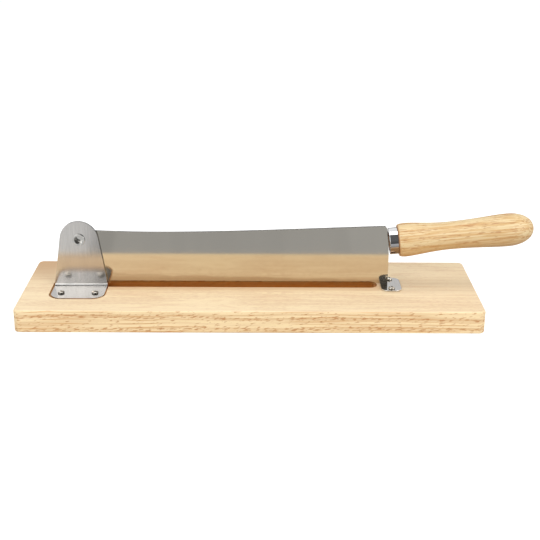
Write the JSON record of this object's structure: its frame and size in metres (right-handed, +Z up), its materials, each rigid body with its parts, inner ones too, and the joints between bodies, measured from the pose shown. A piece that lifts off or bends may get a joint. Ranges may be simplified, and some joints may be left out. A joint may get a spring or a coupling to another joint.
{
  "type": "bread slicing guide",
  "caption": "Wooden board with a crumb groove and a long blade hinged on a bent steel bracket, drawn down by a turned wooden handle to slice bread.",
  "frame": {"origin": "centre of the board's underside", "axes": "+X along the board towards the handle, +Y across the board away from the user, +Z up"},
  "size_m": [0.449, 0.12, 0.0873],
  "materials": {
    "board_wood": "fine sanded, unvarnished, pale straight grain with short pores",
    "handle_wood": "turned, satin varnish",
    "blade_steel": "polished stainless steel",
    "bracket_steel": "brushed upright, satin",
    "rivet_steel": "satin nickel plate",
    "ferrule_chrome": "bright plate",
    "screw_plate": "nickel plate"
  },
  "bodies": {
    "base": {"board": "board_wood", "hinge_bracket": "bracket_steel", "bracket_screw_left": "screw_plate", "bracket_screw_right": "screw_plate", "pivot_rivet": "rivet_steel", "stop_plate": "bracket_steel", "stop_screw_front": "screw_plate", "stop_screw_rear": "screw_plate"},
    "blade_arm": {"blade": "blade_steel", "ferrule": "ferrule_chrome", "handle": "handle_wood"}
  },
  "joints": [
    {"name": "blade_hinge", "type": "hinge", "parent": "base", "child": "blade_arm", "pos_m": [-0.1509, 0.0018, 0.0628], "axis": [0, -1, 0], "range_deg": [0, 180]}
  ]
}
